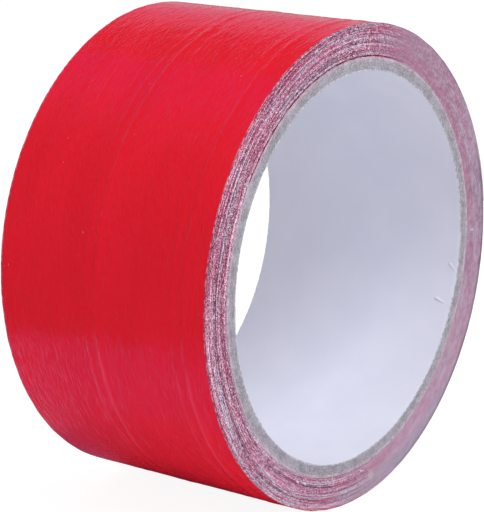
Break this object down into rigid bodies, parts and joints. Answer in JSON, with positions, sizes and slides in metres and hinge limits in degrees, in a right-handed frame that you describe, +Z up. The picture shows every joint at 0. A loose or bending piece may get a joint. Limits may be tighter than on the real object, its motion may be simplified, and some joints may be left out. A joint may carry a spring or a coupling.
{
  "type": "cloth-reinforced adhesive tape roll",
  "caption": "Roll of red cloth-reinforced adhesive tape wound in a spiral on a white-lined paper core, with a free end that peels off the outside.",
  "frame": {"origin": "middle of the core's bore, on the roll's axis, halfway across its width", "axes": "+Y along the bore axis; +Z up, with the roll standing on its tread; the side face at -Y is the one the tape winds clockwise on, going outwards"},
  "size_m": [0.0941, 0.0486, 0.0941],
  "materials": {
    "liner_paper": "smooth white paper with a lavender cast, matt",
    "grey_board": "grey recycled board, fibrous where it is cut",
    "wound_tape": "slit edges of red film, white cloth and pale adhesive in fine turns",
    "red_film": "satin polyethylene film with the cloth's print showing through",
    "cloth_scrim": "open woven white cloth",
    "adhesive_coat": "pale tacky pressure-sensitive adhesive"
  },
  "bodies": {
    "roll": {"core_liner": "liner_paper", "core_ply_1": "grey_board", "core_ply_2": "grey_board", "core_ply_3": "grey_board", "core_ply_4": "grey_board", "first_turn_adhesive": "adhesive_coat", "first_turn_scrim": "cloth_scrim", "first_turn_film": "red_film", "tape_winding": "wound_tape", "outer_turn_adhesive": "adhesive_coat", "outer_turn_scrim": "cloth_scrim", "outer_turn_film": "red_film"},
    "free_end": {"free_end_adhesive": "adhesive_coat", "free_end_scrim": "cloth_scrim", "free_end_film": "red_film"}
  },
  "joints": [
    {"name": "peel", "type": "hinge", "parent": "roll", "child": "free_end", "pos_m": [0.04303, 0, 0.01942], "axis": [0, -1, 0], "range_deg": [0, 150]}
  ]
}
